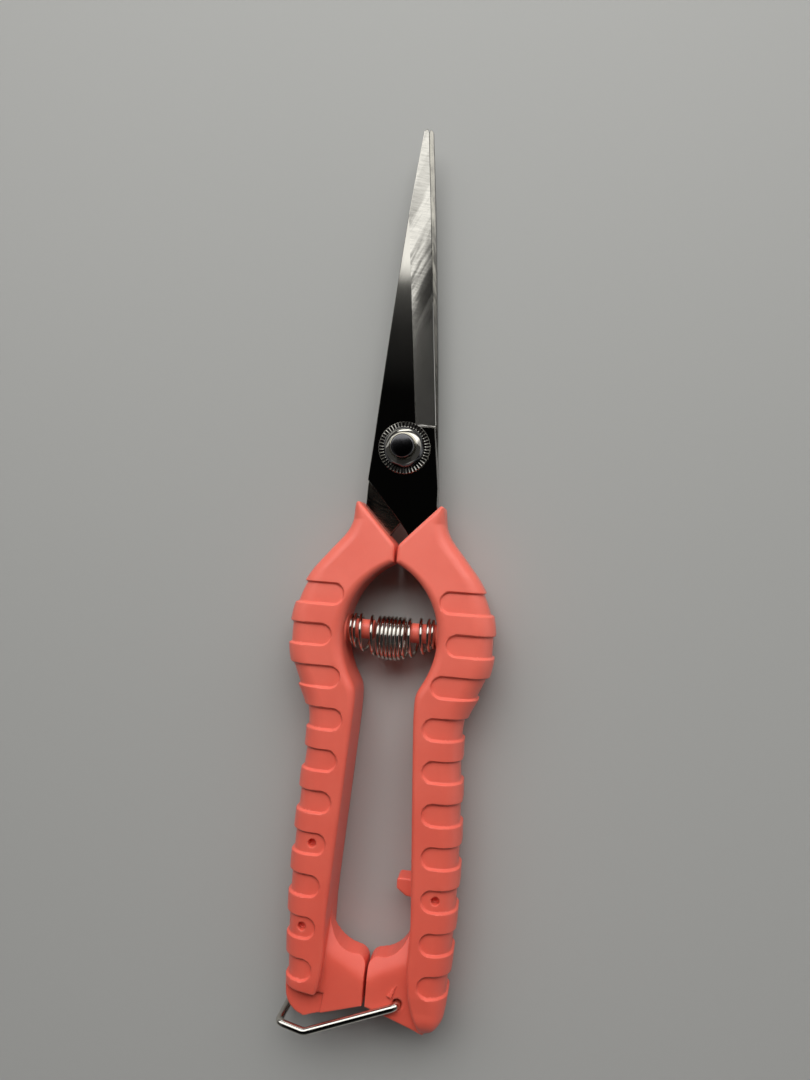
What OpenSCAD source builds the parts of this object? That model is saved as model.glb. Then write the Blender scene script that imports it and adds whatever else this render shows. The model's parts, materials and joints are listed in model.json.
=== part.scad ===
// Straight-blade garden snips: two ground blades on one pivot bolt, moulded
// handles, a barrel-shaped return spring and a wire bail catch.
// Lying on their back: +Z leaves the front face, +Y runs to the blade tips.
// Shown closed, with the bail just off its catch. All sizes in millimetres.

/* [Overall] */
// part to draw, "all" for the whole tool
// pivot axis to blade tips
tip_length = 68.4; // [55:0.2:80]
// pivot axis to the ends of the handles
tail_length = 118.6; // [117.5:0.1:122]

/* [Blades] */
// thickness of each blade
blade_thick = 2.2; // [1.6:0.1:2.6]
// gap between the two flat inner faces
blade_gap = 0.06; // [0.04:0.01:0.12]
// distance from the centre line to the back edge, level with the pivot
blade_half_w = 6.72; // [5.8:0.1:8]
// distance from the centre line to the back edge at the tip
tip_half_w = 0.95; // [0.8:0.05:1.6]
// swell of the back edge between the pivot and the tip
back_swell = 0.25; // [0:0.05:0.5]
// how far the cutting edge stands behind the other blade's back at the tip
edge_setback = 0.95; // [0.7:0.05:1.2]
// thickness left along the cutting edge
edge_thick = 0.35; // [0.2:0.05:0.6]
// where the ground bevel stops, ahead of the pivot
plunge_y = 4.6; // [3.5:0.1:7]
// grind line at its root, across from the centre line
grind_root_x = 1.9; // [0.5:0.1:2.4]
// distance from the root at which the grind line runs out at the back edge
grind_len = 45; // [38:0.5:50]
// half width of the tang inside the handle
tang_half_w = 2.6; // [2:0.1:3.2]
// length of the tang below the place where the handles meet
tang_len = 26; // [18:1:30]

/* [Pivot] */
// bolt shank diameter
bolt_d = 5; // [4:0.1:5.6]
// radial running clearance of the blades on the bolt
pivot_clear = 0.05; // [0.02:0.01:0.08]
// bolt head diameter, on the back
head_d = 9; // [8:0.1:10]
// bolt head height
head_h = 2.1; // [1.6:0.1:2.6]
// driver slot width in the head
slot_w = 1.1; // [0.8:0.1:1.6]
// serrated washer diameter
washer_d = 10.8; // [10:0.1:11.6]
// serrated washer thickness to the tops of the teeth
washer_h = 0.8; // [0.6:0.1:1.2]
// depth of the grooves between the washer teeth
tooth_depth = 0.25; // [0.1:0.05:0.35]
// number of washer teeth
tooth_count = 46; // [36:1:52]
// nut width across its flats
nut_flats = 8.1; // [7.6:0.1:8.6]
// nut height
nut_h = 2.9; // [2.4:0.1:3.4]
// how far the domed bolt end stands out of the nut
bolt_end = 0.7; // [0.3:0.1:1.2]

/* [Handles] */
// thickness of the grips
grip_thick = 12.4; // [12:0.1:14]
// greatest half width over both grips, at the palm swell
belly_half_w = 21.6; // [20:0.2:24]
// gap between the two handles where they meet
meet_gap = 0.5; // [0.3:0.1:1]
// radius of the finger loop round the spring
loop_r = 16.6; // [15.5:0.1:17.2]
// distance of the finger loop's centre from the pivot
loop_y = 39; // [37:0.5:41]
// half width inside the loop, level with its centre
loop_half_w = 9.8; // [9.2:0.1:10.4]
// half width between the straight grips at their narrow end
waist_half_w = 6.4; // [5.8:0.1:7]
// half width between the straight grips at their wide end
heel_half_w = 8.6; // [8:0.1:9.2]
// number of finger pockets in each grip
pocket_count = 10; // [8:1:10]
// first pocket's distance from the pivot
pocket_start = 31.2; // [30:0.2:33]
// last pocket's distance from the handle's end
pocket_end = 10.9; // [10:0.1:13]
// height of a pocket along the grip
pocket_h = 4.7; // [3.6:0.1:5.6]
// pocket depth
pocket_depth = 0.6; // [0.3:0.05:0.9]
// width of the smooth band inside the pockets
pocket_land = 1.9; // [1.4:0.1:2.6]
// radius of the round over the handle's end
end_round = 5; // [3:0.2:5.4]
// diameter of the blind mould pin holes
pin_hole_d = 1.6; // [1.2:0.1:2]
// depth of the mould pin holes below the grip's face
pin_hole_depth = 4; // [2:0.5:5]

/* [Heel and catch] */
// thickness of the flat heel webs under the catch
heel_thick = 8.4; // [8:0.1:9]
// height of the heel webs above the handle's end
heel_rise = 14.1; // [13:0.1:15.2]
// width of the round between the web and the grip
web_fillet = 6.3; // [5:0.1:7]
// height of that round along the grip
web_rise = 9; // [6:0.2:10]
// radius of the round at the top of the contact face
web_nose = 2.35; // [1.5:0.05:2.6]
// height of the contact face's lower edge above the handle's end
heel_lift = 4.4; // [3.6:0.1:5.2]
// bail wire diameter
bail_d = 1.56; // [1.4:0.02:1.8]
// radial clearance of the bail's ends in their hole
bail_clear = 0.05; // [0.02:0.01:0.08]
// bail hole from the centre line
bail_x = 6.9; // [6.5:0.1:7.3]
// height of the bail hole above the handle's end
bail_lift = 5.9; // [5.2:0.1:6.6]
// length of the bail's straight legs
bail_leg = 20; // [19:0.1:21]
// gap between the cross wire and the left handle's side
bail_gap = 0.55; // [0.5:0.05:1]
// drop of the straight legs towards the heel
bail_drop = 1.6; // [1.4:0.1:2.2]
// centre distance of the bail's corners over the cross wire
bail_span = 9; // [8.6:0.1:9.8]
// swing of the resting bail, off its latched place and clear of the left handle's end
bail_off = 18; // [18:1:72]
// thickness of the left heel that the latched bail straddles
catch_thick = 7.4; // [7:0.1:7.8]
// height of the catch step above the handle's end
catch_lift = 6.3; // [6:0.1:7]

/* [Spring] */
// spring wire diameter
wire_d = 0.7; // [0.6:0.02:0.76]
// number of coils
coils = 16; // [12:1:16]
// centre diameter of the end coils
end_coil_d = 5.3; // [5.1:0.1:5.8]
// centre diameter of the middle coils
mid_coil_d = 8.7; // [7.5:0.1:9.4]
// sideways bow of the closed spring
spring_bow = 1.1; // [0:0.1:1.3]
// diameter of the moulded spring pegs
peg_d = 4.1; // [3.6:0.1:4.2]
// length of the spring pegs beyond their seats
peg_len = 5.6; // [4.5:0.1:6]
// diameter of the flat spring seats
seat_d = 6.4; // [6:0.1:7.6]

/* [Hidden] */
eps = 0.01;
smooth = 64;

// blades: the front one lies above the parting plane, the rear one below it
face_in = blade_gap / 2;
face_out = face_in + blade_thick;
tip_round = 0.45;
shoulder_y = -7;
bolt_r = bolt_d / 2;
pivot_r = bolt_r + pivot_clear;

// pivot stack on the front face
washer_z = face_out + 0.05;
nut_z = washer_z + washer_h;
nut_r = nut_flats * 0.525;
tooth_in = nut_r - 0.1;

// handles
half_t = grip_thick / 2;
meet_x = meet_gap / 2;
horn_x = 8.4;
horn_y = -11.7;
meet_top = -20.3;
loop_cx = loop_half_w - loop_r;
meet_low = sqrt(loop_r * loop_r - (meet_x - loop_cx) * (meet_x - loop_cx)) - loop_y;
waist_y = -59.6;
tail_y = -tail_length;
heel_y = tail_y + 22.9;
heel_top = tail_length - heel_rise;
heel_low = tail_length - heel_lift;
catch_y = tail_length - catch_lift;
pocket_pitch = (tail_length - pocket_end - pocket_start) / (pocket_count - 1);
// height of the right grip's nub above the handle's end
nub_y = tail_y + 30.5;
heel_t = heel_thick / 2;
catch_t = catch_thick / 2;
tail_x = 14.2;
web_reach = 12.5;
web_bevel = 32;
ridge_y = heel_top + 4.3;
ridge_turn = 28;
rim_slope = (tail_length - heel_low) / (tail_x - meet_x);

// start and length of the straight part of the grip
bar_y = -54.5;
bar = tail_length + bar_y;
// outside of the grip: place along the tool, then share of the palm swell
outside = [
    [-11.9, 0.425], [-17.5, 0.486], [-22.3, 0.656], [-27, 0.825], [-31, 0.924],
    [-35, 0.981], [-40, 1.000], [-45, 0.977], [-50, 0.888], [bar_y, 0.792],
    [bar_y - 0.07 * bar, 0.766], [bar_y - 0.24 * bar, 0.790], [bar_y - 0.476 * bar, 0.818],
    [tail_y + 20.6, 0.814], [tail_y + 10.6, 0.790], [tail_y + 4, 0.760]];
// the grip's inner side along the heel: place along the tool, then its offset
heel_line = [
    [tail_y + 22.6, 0], [tail_y + 17.6, -0.3], [tail_y + 12.6, -0.6], [tail_y + 8.6, -0.4],
    [tail_y + 5.1, 0.3], [tail_y + 1.5, 1.6]];
// round along the handle's inner edge: place along the tool, then its radius
edge_round = [
    [meet_top, 0.9], [meet_low - 4, 1.6], [-36, 2.2], [-48, 2.0],
    [bar_y - 4, 1.1], [tail_y + 26, 1.0], [tail_y + 20, 0.7]];
// half thickness of the handle: place along the tool, then share of the grip's
thickness = [
    [-12, 0.60], [-18, 0.71], [-25, 0.83], [-32, 0.95], [-38, 1.00], [-60, 1.00],
    [tail_y + 8.6, 1.00], [tail_y + 3, 0.99]];
// where the handle is cut into sections
cuts = concat(
    [horn_y, horn_y - 0.2, horn_y - 0.6, horn_y - 1.3, -15.4, -17.8, -19.9],
    [meet_top, meet_top - 0.4, -22.2, meet_low + 0.4, meet_low],
    [for (k = [1:19]) meet_low - k * (54 + meet_low) / 19],
    [for (k = [1:12]) -54 + k * (tail_y + 59) / 12],
    [tail_y + 4, tail_y + 3, tail_y + 2, tail_y + 1.2, tail_y + 0.6, tail_y + 0.2, tail_y]);

// bail
bail_r = bail_d / 2;
bail_z = heel_t + bail_r + 0.1;
bail_bore_r = bail_r + bail_clear;
bail_y = tail_length - bail_lift;
bail_turn = 1.3;
bail_end_rise = 2.6;
corner_y = -bail_y - bail_drop + bail_end_rise;
bail_reach = bail_x + outer(corner_y) + bail_gap + bail_r;
bail_end_drop = bail_drop - bail_end_rise;

// how far a point of the swung bail hangs below its hole
function hang(reach, drop) = reach * sin(bail_off) + drop * cos(bail_off);

// row origin: middle of the tool's length, on the plane it rests on
bail_low = bail_y + bail_r - 0.09 + max(hang(bail_leg, bail_drop), hang(bail_reach, bail_end_drop));
mid_y = (tip_length - bail_low) / 2;
mid_z = grip_thick / 2;

// spring
seat_x = loop_half_w - 0.4;
peg_y = -38.3;
spring_half = seat_x - wire_d / 2 - 0.02;

// ---------------------------------------------------------------- helpers

function clamp(v, low, high) = max(low, min(high, v));

// smooth larger of two values
function soft_max(a, b, k) = (a + b + sqrt((a - b) * (a - b) + k * k)) / 2;

function rises(t, k) = (t[k + 1][1] - t[k][1]) / (t[k + 1][0] - t[k][0]);

function tangent(t, k) = k == 0 ? rises(t, 0) : k == len(t) - 1 ? rises(t, k - 1)
    : (rises(t, k - 1) + rises(t, k)) / 2;

// smooth curve through a list of [place, value] rows that run downwards
function curve(t, y, k = 0) = y >= t[0][0] ? t[0][1] : k > len(t) - 2 ? t[len(t) - 1][1]
    : y < t[k + 1][0] ? curve(t, y, k + 1)
    : let (d = t[k + 1][0] - t[k][0], s = (y - t[k][0]) / d)
        t[k][1] * (1 + 2 * s) * (1 - s) * (1 - s) + tangent(t, k) * d * s * (1 - s) * (1 - s)
        + t[k + 1][1] * s * s * (3 - 2 * s) + tangent(t, k + 1) * d * s * s * (s - 1);

function loop_edge(y) = loop_cx + sqrt(max(0, loop_r * loop_r - (y + loop_y) * (y + loop_y)));

function grip_edge(y) = waist_half_w
    + (heel_half_w - waist_half_w) * (y - waist_y) / (heel_y - waist_y);

// lower rim of the heel, from the contact face out to the handle's end
function rim_edge(y) = meet_x + (tail_x - meet_x) * clamp((-heel_low - y) / (tail_length - heel_low), 0, 1);

// inner side of the handle's thick part
function inner(y) = y > meet_top
    ? meet_x + (horn_x - meet_x) * (y - meet_top) / (horn_y - meet_top)
    : y > meet_low ? meet_x
    : y > -loop_y ? max(meet_x, loop_edge(y))
    : max(soft_max(loop_edge(y), grip_edge(y), 1.4 * clamp((-loop_y - y) / 8, 0, 1))
        + curve(heel_line, y), rim_edge(y));

// the tail's outer corner is a round in the plan
function tail_round(y) = let (d = clamp(y - tail_y, 0, 4)) 2.6 * (1 - sqrt(1 - pow(1 - d / 4, 2)));

function outer(y) = max(inner(y) + 0.7,
    belly_half_w * curve(outside, y) - (y < tail_y + 4 ? tail_round(y) : 0)
    - (y > horn_y - 0.7 ? 0.8 * pow(1 - (horn_y - y) / 0.7, 2) : 0));

function half_at(y) = half_t * min(1, curve(thickness, y))
    - (y > horn_y - 1.3 ? 1.6 * pow(1 - (horn_y - y) / 1.3, 2) : 0)
    - (y < tail_y + end_round ? end_round * (1 - sqrt(1 - pow(1 - (y - tail_y) / end_round, 2))) : 0);

// one section of the handle, inset all round by "inset"
function section(y, inset, steps) =
    let (a = inner(y) + inset, b = outer(y) - inset, h = half_at(y) - inset,
        ro = min(4.6 - inset, h * 0.9, (b - a) * 0.56), ri = min(curve(edge_round, y) - inset / 2, h * 0.6, (b - a) * 0.3))
    concat(
        [for (k = [0:steps]) let (q = 180 + 90 * k / steps)
            [a + ri + ri * cos(q), y, -h + ri + ri * sin(q)]],
        [for (k = [0:steps]) let (q = 270 + 90 * k / steps)
            [b - ro + ro * cos(q), y, -h + ro + ro * sin(q)]],
        [for (k = [0:steps]) let (q = 90 * k / steps)
            [b - ro + ro * cos(q), y, h - ro + ro * sin(q)]],
        [for (k = [0:steps]) let (q = 90 + 90 * k / steps)
            [a + ri + ri * cos(q), y, h - ri + ri * sin(q)]]);

// closed skin over a row of sections with equal numbers of points
module skin(rows) {
    n = len(rows[0]);
    m = len(rows);
    polyhedron(
        points = [for (r = rows, p = r) p],
        faces = concat(
            [[for (k = [0:n - 1]) k]],
            [[for (k = [0:n - 1]) m * n - 1 - k]],
            [for (j = [0:m - 2], k = [0:n - 1]) [j * n + k, (j + 1) * n + k, (j + 1) * n + (k + 1) % n]],
            [for (j = [0:m - 2], k = [0:n - 1]) [j * n + k, (j + 1) * n + (k + 1) % n, j * n + (k + 1) % n]]));
}

// wire bent along a path of points, with the section's side held on "side"
module wire(path, r, sides, side) {
    last = len(path) - 1;
    skin([for (k = [0:last])
        let (d = path[min(last, k + 1)] - path[max(0, k - 1)], t = d / norm(d),
            u0 = cross(t, side), u = u0 / norm(u0), v = cross(t, u))
        [for (q = [0:sides - 1]) path[k] + r * (u * cos(360 * q / sides) + v * sin(360 * q / sides))]]);
}

module place() {
    translate([0, -mid_y, mid_z]) children();
}

// ---------------------------------------------------------------- blades

// distance of a blade's back edge from the centre line
function back_x(y) = let (s = clamp(y / tip_length, 0, 1))
    tip_half_w + (blade_half_w - tip_half_w) * (tip_length - y) / tip_length + 4 * back_swell * s * (1 - s);

// middle of the tang inside the handle
function tang_mid(y) = (inner(y) + outer(y)) / 2 - 0.6;

// outline of the front blade with its tang, spine on the left
module blade_outline() {
    polygon(concat(
        [[-back_x(shoulder_y), shoulder_y]],
        [for (k = [0:9]) [-back_x(k * tip_length / 10), k * tip_length / 10]],
        [[-tip_half_w, tip_length - tip_round * 1.6],
        [-tip_half_w + tip_round * 0.5, tip_length - tip_round * 0.3],
        [-tip_half_w + tip_round * 1.2, tip_length],
        [tip_half_w - edge_setback, tip_length - tip_round],
        [back_x(plunge_y) - 0.35, plunge_y],
        [back_x(-8) + 0.2, -8],
        [horn_x - 0.7, horn_y],
        [horn_x - 0.5, meet_top + 4.8]],
        [for (k = [0:5]) let (y = meet_top - k * tang_len / 5) [tang_mid(y) + tang_half_w, y]],
        [for (k = [5:-1:0]) let (y = meet_top - k * tang_len / 5) [tang_mid(y) - tang_half_w, y]],
        [[meet_x + 1.2, meet_top + 3.1],
        [-meet_x, meet_top + 5.3]]));
}

// everything in front of the bevel plane, ahead of the plunge line
module bevel_cut() {
    run = [-back_x(plunge_y + grind_len) - grind_root_x, grind_len];
    turn = atan2(-run[0], run[1]);
    across = (back_x(plunge_y) - 0.35 - grind_root_x) * cos(turn);
    tilt = atan2(blade_thick - edge_thick, across);
    intersection() {
        translate([grind_root_x, plunge_y, blade_thick])
            rotate([0, 0, turn])
            rotate([0, tilt, 0])
            translate([-grind_len / 2, -tip_length / 2, 0])
            cube([grind_len, 2 * tip_length, grind_len / 2]);
        translate([-grind_len / 2, plunge_y, -1]) cube([grind_len, tip_length, blade_thick + 2]);
    }
}

module blade(hole_r) {
    difference() {
        linear_extrude(height = blade_thick) blade_outline();
        bevel_cut();
        translate([0, 0, -1]) cylinder(h = blade_thick + 2, r = hole_r, $fn = smooth);
    }
}

module front_blade() {
    color("silver") place() translate([0, 0, face_in]) blade(pivot_r);
}

module rear_blade() {
    color("silver") place() rotate([0, 180, 0]) translate([0, 0, face_in]) blade(pivot_r);
}

// the tang as the handle's cavity, in the handle's own half
module tang(side) {
    z0 = side > 0 ? face_in : -face_out;
    translate([0, 0, z0]) linear_extrude(height = blade_thick) blade_outline();
}

// ---------------------------------------------------------------- handles

module grip_skin(inset, steps) {
    skin([for (y = cuts) section(y, inset, steps)]);
}

// outline of the heel web: contact face, nose, round to the grip, lower rim
module web_outline() {
    nose_x = meet_x + web_nose;
    polygon(concat(
        [[meet_x, -heel_low]],
        [for (k = [0:5]) [nose_x - web_nose * cos(18 * k), -heel_top - web_nose + web_nose * sin(18 * k)]],
        [for (k = [1:9]) [nose_x + web_fillet * sin(10 * k), -heel_top + web_rise * (1 - cos(10 * k))]],
        [[web_reach, -heel_top + web_rise], [web_reach, -heel_low - (web_reach - meet_x) * rim_slope]]));
}

// flat web between the grip and the other handle, its upper rim bevelled on both faces
module heel_web() {
    difference() {
        translate([0, 0, -heel_t]) linear_extrude(height = heel_thick) web_outline();
        for (s = [0, 1]) mirror([0, 0, s])
            translate([meet_x, -ridge_y, heel_t]) rotate([0, 0, ridge_turn]) rotate([-web_bevel, 0, 0])
            translate([-web_reach, 0, 0]) cube([4 * web_reach, 2 * web_reach, web_reach]);
    }
}

// pocket cutter: slots with a round inner end that run out past the grip's side
module pockets() {
    difference() {
        for (k = [0:pocket_count - 1]) {
            y = -pocket_start - k * pocket_pitch;
            x = inner(y) + pocket_land + pocket_h / 2;
            translate([x, y, -10]) cylinder(h = 20, d = pocket_h, $fn = smooth);
            translate([x, y - pocket_h / 2, -10]) cube([20, pocket_h, 20]);
        }
        grip_skin(pocket_depth, 4);
    }
}

// blind mould pin holes, on the pockets with the given numbers
module pin_holes(numbers) {
    for (k = numbers) {
        y = -pocket_start - k * pocket_pitch;
        translate([inner(y) + 4.9, y, half_t - pin_hole_depth])
            cylinder(h = pin_hole_depth + 1, d = pin_hole_d, $fn = smooth);
    }
}

// moulded peg with a flat seat for the spring's end coil
module spring_peg() {
    translate([seat_x, peg_y, 0]) rotate([0, 90, 0]) cylinder(h = 3, d = seat_d, $fn = smooth);
    translate([seat_x - peg_len, peg_y, 0]) rotate([0, 90, 0])
        cylinder(h = peg_len + 3, d = peg_d, $fn = smooth);
}

module handle_body() {
    difference() {
        union() {
            grip_skin(0, 5);
            heel_web();
        }
        pockets();
    }
    spring_peg();
}

// small peg on the inside of the right grip
module bail_nub() {
    translate([inner(nub_y - 1), nub_y, -2.4]) linear_extrude(height = 4.8)
        polygon([[2, 0], [-2.6, -0.1], [-3, -0.5], [-3, -2.3], [-0.2, -4.7], [2, -5.1]]);
}

// wedge that the bail's leg rides over, on one face of the heel
module bail_ramp() {
    skin([for (p = [[bail_x - 0.4, -bail_y + 3.9, 0.15, 0.05], [bail_x - 1.9, -bail_y + bail_r + 0.25, 1.1, 0.6]])
        [[p[0] - p[2] / 2, p[1], heel_t - 0.3], [p[0] - p[2] / 2, p[1], heel_t + p[3]],
            [p[0] + p[2] / 2, p[1], heel_t + p[3]], [p[0] + p[2] / 2, p[1], heel_t - 0.3]]]);
}

module right_handle() {
    color("salmon") place() difference() {
        union() {
            handle_body();
            bail_nub();
            bail_ramp();
            mirror([0, 0, 1]) bail_ramp();
        }
        tang(1);
        pin_holes([7]);
        translate([bail_x, -bail_y, -10]) cylinder(h = 20, r = bail_bore_r, $fn = smooth);
        for (s = [0, 1]) mirror([0, 0, s]) translate([bail_x, -bail_y, heel_t - 0.8])
            cylinder(h = 1, r1 = bail_bore_r, r2 = bail_bore_r + 0.5, $fn = smooth);
    }
}

module left_handle() {
    color("salmon") place() mirror([1, 0, 0]) difference() {
        handle_body();
        tang(-1);
        pin_holes([6, 8]);
        // steps down at the catch, front and back
        for (s = [0, 1]) mirror([0, 0, s])
            translate([9, -catch_y - 0.4, catch_t]) rotate([0, 0, 8])
            translate([-0.6, -tail_x, 0]) cube([2 * tail_x, tail_x, half_t]);
    }
}

// ---------------------------------------------------------------- pivot

module pivot_bolt() {
    top = nut_z + nut_h + bolt_end;
    color("silver") place() difference() {
        union() {
            intersection() {
                translate([0, 0, -face_out]) cylinder(h = top + face_out, r = bolt_r, $fn = smooth);
                translate([0, 0, top - bolt_d * 0.95]) sphere(r = bolt_d * 0.95, $fn = smooth);
            }
            translate([0, 0, -face_out]) cylinder(h = top - bolt_d * 0.5 + face_out, r = bolt_r, $fn = smooth);
            intersection() {
                translate([0, 0, -face_out - head_h]) cylinder(h = head_h, d = head_d, $fn = smooth);
                translate([0, 0, -face_out - head_h + head_d]) sphere(r = head_d, $fn = smooth);
            }
        }
        translate([-head_d, -slot_w / 2, -face_out - head_h - 1]) cube([2 * head_d, slot_w, 1.9]);
    }
}

module pivot_nut() {
    color("silver") place() translate([0, 0, nut_z]) difference() {
        intersection() {
            rotate([0, 0, 12]) cylinder(h = nut_h, d = nut_flats / cos(30), $fn = 6);
            cylinder(h = nut_h, r = nut_r, $fn = smooth);
            translate([0, 0, nut_h - 5.6]) sphere(r = 5.6, $fn = smooth);
        }
        translate([0, 0, -1]) cylinder(h = nut_h + 2, r = bolt_r, $fn = smooth);
        translate([0, 0, nut_h - 0.4]) cylinder(h = 1, r1 = bolt_r, r2 = bolt_r + 1, $fn = smooth);
    }
}

module serrated_washer() {
    color("silver") place() translate([0, 0, washer_z]) difference() {
        cylinder(h = washer_h, d = washer_d, $fn = smooth);
        translate([0, 0, -1]) cylinder(h = washer_h + 2, r = bolt_r, $fn = smooth);
        for (k = [0:tooth_count - 1])
            rotate([0, 0, 360 * k / tooth_count])
            translate([tooth_in, -0.19, washer_h - tooth_depth])
            cube([5, 0.38, 1]);
    }
}

// ---------------------------------------------------------------- spring

function tanh(x) = (exp(2 * x) - 1) / (exp(2 * x) + 1);

// place of the wire along the spring: closed ends, open shoulders, close middle
function coil_x(u) =
    let (half = (coils - 1) / 2, close = 0.84, jump = spring_half - close * half)
    close * u + jump / 2 * (tanh(0.93 * (u - half * 0.58)) + tanh(0.93 * (u + half * 0.58)));

function coil_r(u) =
    let (half = coils / 2, s = clamp(1 - abs(u) / half * 1.08, 0, 1))
    (end_coil_d + (mid_coil_d - end_coil_d) * (1 - pow(1 - s, 2.2))) / 2;

module return_spring() {
    steps = 14;
    n = (coils - 1) * steps;
    color("lightgray") place() wire(
        [for (k = [0:n]) let (u = (k - n / 2) / steps, q = 360 * u + 90)
            [coil_x(u), peg_y - spring_bow * cos(90 * coil_x(u) / spring_half)
                + coil_r(u) * cos(q), coil_r(u) * sin(q)]],
        wire_d / 2, 6, [1, 0, 0]);
}

// ---------------------------------------------------------------- bail

// path of the bail's front half, from its end in the heel's hole to the cross wire
function bend(p, a, b, r) = [for (k = [0:4]) let (s = k / 4)
    (1 - s) * (1 - s) * (p + a * r) + 2 * s * (1 - s) * p + s * s * (p + b * r)];

function unit(v) = v / norm(v);

module wire_bail() {
    start = [bail_x, -bail_y, 1.2];
    top = [bail_x, -bail_y, bail_z];
    kink = [bail_x - bail_leg, -bail_y - bail_drop, bail_z];
    corner = [bail_x - bail_reach, corner_y, bail_span / 2];
    middle = [corner[0], corner[1], 0];
    front = concat([start], bend(top, [0, 0, -1], unit(kink - top), bail_turn),
        bend(kink, unit(top - kink), unit(corner - kink), 0.8),
        bend(corner, unit(kink - corner), [0, 0, -1], bail_turn));
    n = len(front);
    whole = concat(front, [for (k = [0:n - 1]) let (p = front[n - 1 - k]) [p[0], p[1], -p[2]]]);
    color("lightgray") place() translate([bail_x, -bail_y, 0]) rotate(bail_off)
        translate([-bail_x, bail_y, 0]) wire(whole, bail_r, 12, [0.02, 1, 0]);
}

front_blade();
rear_blade();
right_handle();
left_handle();
pivot_bolt();
pivot_nut();
serrated_washer();
return_spring();
wire_bail();
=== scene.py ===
import json
import math
import bpy
import numpy as np
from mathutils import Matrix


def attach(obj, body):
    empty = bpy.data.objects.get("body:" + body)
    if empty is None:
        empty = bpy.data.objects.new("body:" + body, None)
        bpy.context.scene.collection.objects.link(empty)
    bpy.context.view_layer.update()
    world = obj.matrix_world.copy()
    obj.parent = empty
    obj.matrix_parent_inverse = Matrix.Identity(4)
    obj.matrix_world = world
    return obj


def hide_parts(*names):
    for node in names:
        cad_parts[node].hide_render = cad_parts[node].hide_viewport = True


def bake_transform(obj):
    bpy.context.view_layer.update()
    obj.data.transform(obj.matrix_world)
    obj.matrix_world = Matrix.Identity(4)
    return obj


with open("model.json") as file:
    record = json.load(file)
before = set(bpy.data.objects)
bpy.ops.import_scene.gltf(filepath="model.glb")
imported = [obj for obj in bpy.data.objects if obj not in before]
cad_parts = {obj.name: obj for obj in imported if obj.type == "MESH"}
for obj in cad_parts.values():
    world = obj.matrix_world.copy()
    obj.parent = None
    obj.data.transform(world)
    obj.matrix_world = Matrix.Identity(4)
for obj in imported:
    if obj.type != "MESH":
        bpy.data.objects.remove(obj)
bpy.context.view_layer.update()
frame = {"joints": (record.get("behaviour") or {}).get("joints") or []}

# ---------------------------------------------------------------- blades
# Two stainless blades, the rear one the front one turned over. Each is stamped
# from 2.2 mm strip, polished to a mirror on its flats, and ground to a satin
# bevel whose grind line runs out at the back, two thirds of the way to the tip.

pivot_at = [joint for joint in frame["joints"] if joint["name"] == "pivot"][0]["pos_m"]


def on_tool(points):
    """Row-frame metres for millimetres measured from the pivot bolt's middle."""
    return np.asarray(points, float) / 1000 + np.array(pivot_at)


def new_piece(name, points, faces, materials, body=None):
    """A mesh piece that rides on a body and takes its finish from a slot."""
    mesh = bpy.data.meshes.new(name)
    faces = faces.tolist() if isinstance(faces, np.ndarray) else faces
    mesh.from_pydata(np.asarray(points).tolist(), [], faces)
    mesh.validate()
    piece = bpy.data.objects.new(name, mesh)
    bpy.context.scene.collection.objects.link(piece)
    for material in materials:
        mesh.materials.append(material)
    if body:
        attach(piece, body)
    return piece


def band_faces(rings, count, closed=False):
    """Quads between neighbouring rings of count points, and back to the first if closed."""
    faces = []
    for j in range(rings if closed else rings - 1):
        here, after = j * count, (j + 1) % rings * count
        faces += [(here + k, after + k, after + (k + 1) % count, here + (k + 1) % count)
                  for k in range(count)]
    return faces


class NodeTree:
    """Short calls for the nodes of a shader tree."""

    def __init__(self, tree):
        self.tree = tree

    def node(self, kind, **settings):
        made = self.tree.nodes.new(kind)
        for key, value in settings.items():
            setattr(made, key, value)
        return made

    def put(self, socket, value):
        """Links a node's output to the socket, or sets a constant there."""
        if isinstance(value, bpy.types.NodeSocket):
            self.tree.links.new(value, socket)
        else:
            socket.default_value = value

    def maths(self, operation, a, b=0.0):
        made = self.node("ShaderNodeMath", operation=operation)
        self.put(made.inputs[0], a)
        self.put(made.inputs[1], b)
        return made.outputs[0]

    def parts(self, vector):
        """The vector's X, Y and Z."""
        made = self.node("ShaderNodeSeparateXYZ")
        self.put(made.inputs[0], vector)
        return made.outputs

    def spread(self, value, low, high, out_low, out_high, smooth=False):
        """The value's band low to high, mapped to out_low to out_high."""
        made = self.node("ShaderNodeMapRange")
        made.interpolation_type = "SMOOTHSTEP" if smooth else "LINEAR"
        for key, level in (("Value", value), ("From Min", low), ("From Max", high),
                           ("To Min", out_low), ("To Max", out_high)):
            self.put(made.inputs[key], level)
        return made.outputs["Result"]


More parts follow.
